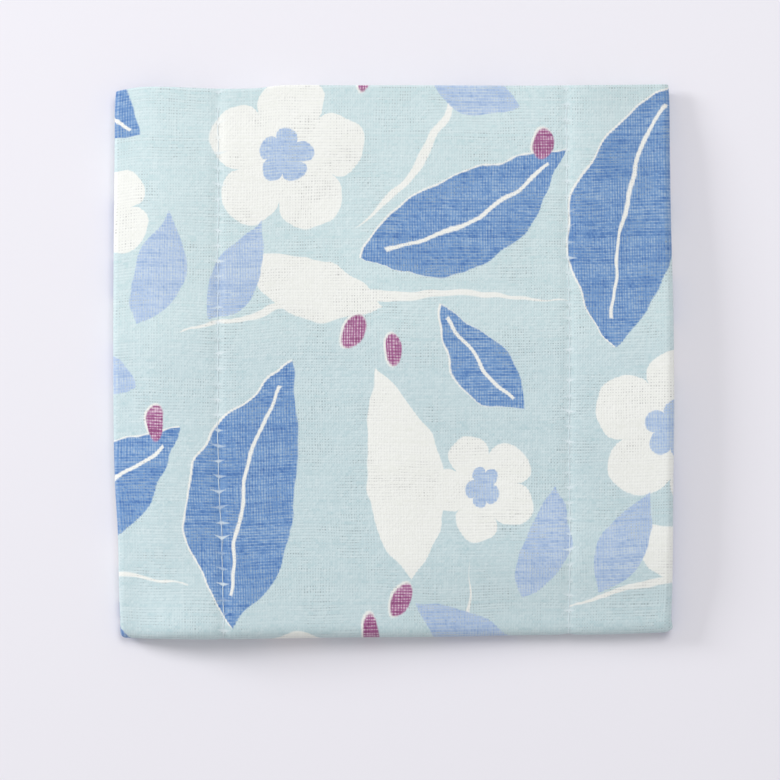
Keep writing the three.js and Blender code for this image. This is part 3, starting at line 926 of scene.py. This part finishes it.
# Steps between the numbers that chance is drawn from: by line, by side, by hole, and for the slope.
LINE_STEP = 57.0
SIDE_STEP = 0.31
HOLE_STEP = 3.3
SLOPE_STEP = 5.7


def between(g, share, limits):
    return g.math("MULTIPLY_ADD", share, limits[1] - limits[0], limits[0])


def stitch_marks(g, place):
    """Where yarns are pulled apart at needle holes, crowded below them under painted pucker shade,
    close-set, and where pinholes hold painted shade.
    """
    x, y = g.split(place)
    lines = g.math("DIVIDE", x, LINE_SPACING)
    offset = g.math("MULTIPLY_ADD", g.math("FRACT", lines), LINE_SPACING, -LINE_SPACING / 2)
    aside = g.math("ABSOLUTE", offset)
    counted = g.math("MULTIPLY_ADD", y, 1 / STITCH, 0.5)
    index = g.math("FLOOR", counted)
    past = g.math("MULTIPLY_ADD", g.math("FRACT", counted), STITCH, -STITCH / 2)
    own = g.chance(g.math("MULTIPLY_ADD", g.math("FLOOR", lines), LINE_STEP, index))
    side = g.math("MULTIPLY_ADD", g.math("SIGN", offset), SIDE_STEP, own)
    side_own = g.chance(g.math("MULTIPLY_ADD", index, HOLE_STEP, side))
    reach = between(g, side_own, FLARE_REACH)
    taper = g.math("SUBTRACT", 1.0, g.math("DIVIDE", aside, reach), clamp=True)
    half = g.math("MULTIPLY_ADD", g.math("POWER", taper, FLARE_TAPER), FLARE_APEX, FLARE_HALF)
    slope = between(g, g.chance(g.math("ADD", side_own, SLOPE_STEP)), FLARE_SLOPE)
    bent = g.math("SUBTRACT", past, g.math("MULTIPLY", slope, aside))
    off = g.math("DIVIDE", g.math("ABSOLUTE", bent), half)
    flare = g.math("MULTIPLY", g.ramp(off, *FLARE_EDGE), g.math("POWER", taper, FLARE_FADE))
    flare = g.math("MULTIPLY", flare, between(g, own, FLARE_STRENGTH))
    below = g.vector("DIVIDE", g.join(aside, g.math("ADD", past, CROWD_BELOW)), (*CROWD_RADIUS, 1))
    crowding_and_shade = g.math("MULTIPLY", g.ramp(g.vector("LENGTH", below), *CROWD_EDGE), side_own)
    close = g.ramp(aside, CLOSE_REACH, CLOSE_FULL, 0.0, CLOSE_STRENGTH)
    spot = g.join(g.math("SUBTRACT", aside, PINHOLE_ASIDE), g.math("ADD", past, PINHOLE_BELOW))
    pinhole = g.ramp(g.vector("LENGTH", spot), PINHOLE_RADIUS, PINHOLE_FULL)
    return flare, crowding_and_shade, close, pinhole


def group_node(g, tree, place):
    made = g.node("ShaderNodeGroup", node_tree=tree)
    g.feed(made.inputs[0], place)
    return made


# The ply below: how it lies, how much its own openings count, and how dark the painted shade is where
# both plies are open.
SECOND_PLY_SHIFT = (61.3, 27.7, 0)
SECOND_PLY_TURN = 1.6
SECOND_PLY_SCALE = 0.56
SECOND_PLY_SHARE = 0.6
SECOND_PLY_HEIGHT = 0.35
DEEP_SHADE = 0.36

# Clusters where the openings carry that painted shade, how strongly a yarn's tone darkens its ink, and
# slow patches of darker and lighter ink.
CLUSTER_SCALE = 0.085
CLUSTER_SHIFT = (17.0, 44.0, 0)
CLUSTER_LIMITS = (0.46, 0.6)
CLUSTER_LOW = 0.08
TONE_CONTRAST = 0.3
INK_PATCH_SCALE = 0.025
INK_PATCH_DETAIL = 2.0
INK_PATCH_LEAST = 0.96
INK_PATCH_CHANCE = 0.08

# How much ink shows on the inner face, and where on the hems' rounding it turns to the outer face's.
INNER_FACE_INK = 0.3
INNER_FACE_LIMITS = (-0.3, 0.5)

# The shaders' plain values, and the bumps' strengths and depths in millimetres.
CLOTH_LOOK = {
    "Roughness": 0.92,
    "Specular IOR Level": 0.15,
    "Sheen Weight": 0.35,
    "Sheen Roughness": 0.5,
}
CLOTH_BUMP = {"strength": 0.28, "depth": 0.14}
THREAD_LOOK = {"Roughness": 0.8, "Sheen Weight": 0.2}
THREAD_BUMP = {"strength": 0.4, "depth": 0.05}
THREAD_SHADES = (linear(200, 214, 222), linear(226, 233, 236))
THREAD_TWIST_SCALE = 2500
FLOOR_LOOK = {"Base Color": linear(233, 231, 238), "Roughness": 0.9, "Specular IOR Level": 0.2}


def grey(g, value):
    return g.join(value, value, value)


def uneven_print_place(g, place):
    """The flat place as the print meets it: edges cut by hand, and a little stepped by the yarns."""
    wobble_x = g.math("SUBTRACT", g.noise(place, PRINT_WOBBLE_SCALE), 0.5)
    other = g.vector("ADD", place, PRINT_WOBBLE_SHIFT)
    wobble_y = g.math("SUBTRACT", g.noise(other, PRINT_WOBBLE_SCALE), 0.5)
    moved = g.vector("ADD", place, g.scaled(g.join(wobble_x, wobble_y), PRINT_WOBBLE))
    stepped = g.vector("SNAP", moved, (WARP_PITCH, WEFT_PITCH, 1))
    mixed = g.node("ShaderNodeMix", data_type="VECTOR")
    g.feed(mixed.inputs[0], PRINT_STEPPING)
    g.feed(mixed.inputs[4], moved)
    g.feed(mixed.inputs[5], stepped)
    return mixed.outputs[1]


def new_material(name, look):
    """A material with the given plain values, its shader, and a graph to add nodes to it."""
    material = bpy.data.materials.new(name)
    material.use_nodes = True
    shader = material.node_tree.nodes["Principled BSDF"]
    for socket, value in look.items():
        shader.inputs[socket].default_value = value
    return material, shader, Graph(material.node_tree)


def add_bump(g, shader, height, strength, depth):
    bump = g.node("ShaderNodeBump")
    bump.inputs["Strength"].default_value = strength
    bump.inputs["Distance"].default_value = depth * MM
    g.feed(bump.inputs["Height"], height)
    g.feed(shader.inputs["Normal"], bump.outputs[0])


def cloth_material():
    material, shader, g = new_material("gauze_print", CLOTH_LOOK)
    flat = g.node("ShaderNodeUVMap", uv_map=FLAT_MAP).outputs[0]
    place = g.scaled(flat, 1 / MM)
    weave = weave_group()
    top = group_node(g, weave, place)
    turned = g.node("ShaderNodeVectorRotate", rotation_type="Z_AXIS")
    g.feed(turned.inputs["Vector"], g.vector("ADD", place, SECOND_PLY_SHIFT))
    turned.inputs["Angle"].default_value = math.radians(SECOND_PLY_TURN)
    second = group_node(g, weave, g.scaled(turned.outputs[0], SECOND_PLY_SCALE))
    flare, crowding_and_shade, close, pinhole = stitch_marks(g, place)
    inks = group_node(g, print_group(), uneven_print_place(g, place)).outputs
    outer_face = g.node("ShaderNodeAttribute", attribute_name=OUTER_FACE).outputs["Fac"]
    printed = g.ramp(outer_face, *INNER_FACE_LIMITS, INNER_FACE_INK, 1.0)
    ink = g.mix(printed, INKS["white"], inks["Colour"])
    # The colour between the yarns, with the painted shade of the ply above in it.
    below = g.mix(printed, SHADED_THROUGH_INKS["white"], inks["Through"])

    # Between the yarns the next ply shows, with less ink and painted shade, and deeper painted shade
    # where both plies are open.
    opening = g.math("MULTIPLY", top.outputs["Open"], g.math("SUBTRACT", 1.0, close))
    spots = g.noise(g.vector("ADD", place, CLUSTER_SHIFT), CLUSTER_SCALE)
    clusters = g.ramp(spots, *CLUSTER_LIMITS, CLUSTER_LOW, 1.0)
    through = g.math("MULTIPLY_ADD", second.outputs["Open"], SECOND_PLY_SHARE, 1 - SECOND_PLY_SHARE)
    deep = g.math("MULTIPLY", g.math("MULTIPLY", top.outputs["Hole"], through), clusters)
    below = g.vector("MULTIPLY", below, grey(g, g.math("MULTIPLY_ADD", deep, -DEEP_SHADE, 1.0)))
    thicker = g.math("MULTIPLY_ADD", top.outputs["Tone"], TONE_CONTRAST, 1.0)
    patches = g.noise(place, INK_PATCH_SCALE, INK_PATCH_DETAIL)
    patch = g.math("MULTIPLY_ADD", patches, INK_PATCH_CHANCE, INK_PATCH_LEAST)
    yarn = g.vector("MULTIPLY", g.gamma(ink, thicker), grey(g, patch))
    colour = g.mix(opening, yarn, below)
    colour = g.mix(flare, colour, PULLED_YARN)
    # Painted shade: darker in the pinholes, and below each needle hole where the pucker slopes away
    # from the light.
    hole_and_pucker_shade = g.math("MULTIPLY_ADD", pinhole, -PINHOLE_SHADE, 1.0)
    hole_and_pucker_shade = g.math("MULTIPLY_ADD", crowding_and_shade, -CROWD_SHADE, hole_and_pucker_shade)
    colour = g.vector("MULTIPLY", colour, grey(g, hole_and_pucker_shade))
    g.feed(shader.inputs["Base Color"], colour)
    height = g.math("MULTIPLY_ADD", second.outputs["Height"], SECOND_PLY_HEIGHT, top.outputs["Height"])
    add_bump(g, shader, height, **CLOTH_BUMP)
    return material


def thread_material():
    material, shader, g = new_material("quilting_thread", THREAD_LOOK)
    spot = g.node("ShaderNodeTexCoord").outputs["Object"]
    twist = g.node("ShaderNodeTexNoise")
    g.feed(twist.inputs["Vector"], spot)
    twist.inputs["Scale"].default_value = THREAD_TWIST_SCALE
    g.feed(shader.inputs["Base Color"], g.mix(twist.outputs["Fac"], *THREAD_SHADES))
    add_bump(g, shader, twist.outputs["Fac"], **THREAD_BUMP)
    return material


# The picture: its scale on the cloth's upper face, the place under its middle, and the camera.
MM_PER_PIXEL = 0.27
PICTURE_PIXELS = 780
PICTURE_MIDDLE = (-1.0, -7.7)
CAMERA_HEIGHT = 1000
SENSOR_WIDTH = 36

# The lights' places and sizes, in millimetres, and their powers, in watts. The floor's half is in
# metres.
LIGHTS = [
    {"name": "left_softbox", "spot": (-1195, 507, 524), "size": 430, "power": 11},
    {"name": "back_softbox", "spot": (232, 713, 1299), "size": 650, "power": 7.4},
    {"name": "top_softbox", "spot": (0, 52, 1500), "size": 900, "power": 1.5},
]
ROOM_LIGHT = 0.5
FLOOR_HALF = 3


def add_camera():
    data = bpy.data.cameras.new("camera")
    data.sensor_width = SENSOR_WIDTH
    data.lens = SENSOR_WIDTH * (CAMERA_HEIGHT - PACK_HEIGHT) / (MM_PER_PIXEL * PICTURE_PIXELS)
    camera = bpy.data.objects.new("camera", data)
    camera.location = Vector((*PICTURE_MIDDLE, CAMERA_HEIGHT)) * MM
    bpy.context.collection.objects.link(camera)
    bpy.context.scene.camera = camera


def add_light(name, spot, size, power):
    """A square soft light that looks at the cloth, at a place given in millimetres."""
    data = bpy.data.lights.new(name, "AREA")
    data.shape = "SQUARE"
    data.size = size * MM
    data.energy = power
    light = bpy.data.objects.new(name, data)
    light.location = Vector(spot) * MM
    light.rotation_euler = (-Vector(spot)).to_track_quat("-Z", "Y").to_euler()
    bpy.context.collection.objects.link(light)


def add_floor():
    corners = [(x * FLOOR_HALF, y * FLOOR_HALF, 0) for x, y in ((-1, -1), (1, -1), (1, 1), (-1, 1))]
    floor = mesh_object("floor", corners, [(0, 1, 2, 3)])
    floor.data.materials.append(new_material("floor", FLOOR_LOOK)[0])


def add_world():
    world = bpy.data.worlds.new("world")
    world.use_nodes = True
    background = world.node_tree.nodes["Background"]
    background.inputs["Color"].default_value = (1, 1, 1, 1)
    background.inputs["Strength"].default_value = ROOM_LIGHT
    bpy.context.scene.world = world


sheet, shift = build_sheet()
sheet.data.materials.append(cloth_material())
thread = build_stitches(shift)
thread.data.materials.append(thread_material())
for piece in (sheet, thread):
    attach(piece, "root")
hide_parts(NODE)

add_camera()
for light in LIGHTS:
    add_light(**light)
add_floor()
add_world()
bpy.context.scene.view_settings.view_transform = "Standard"
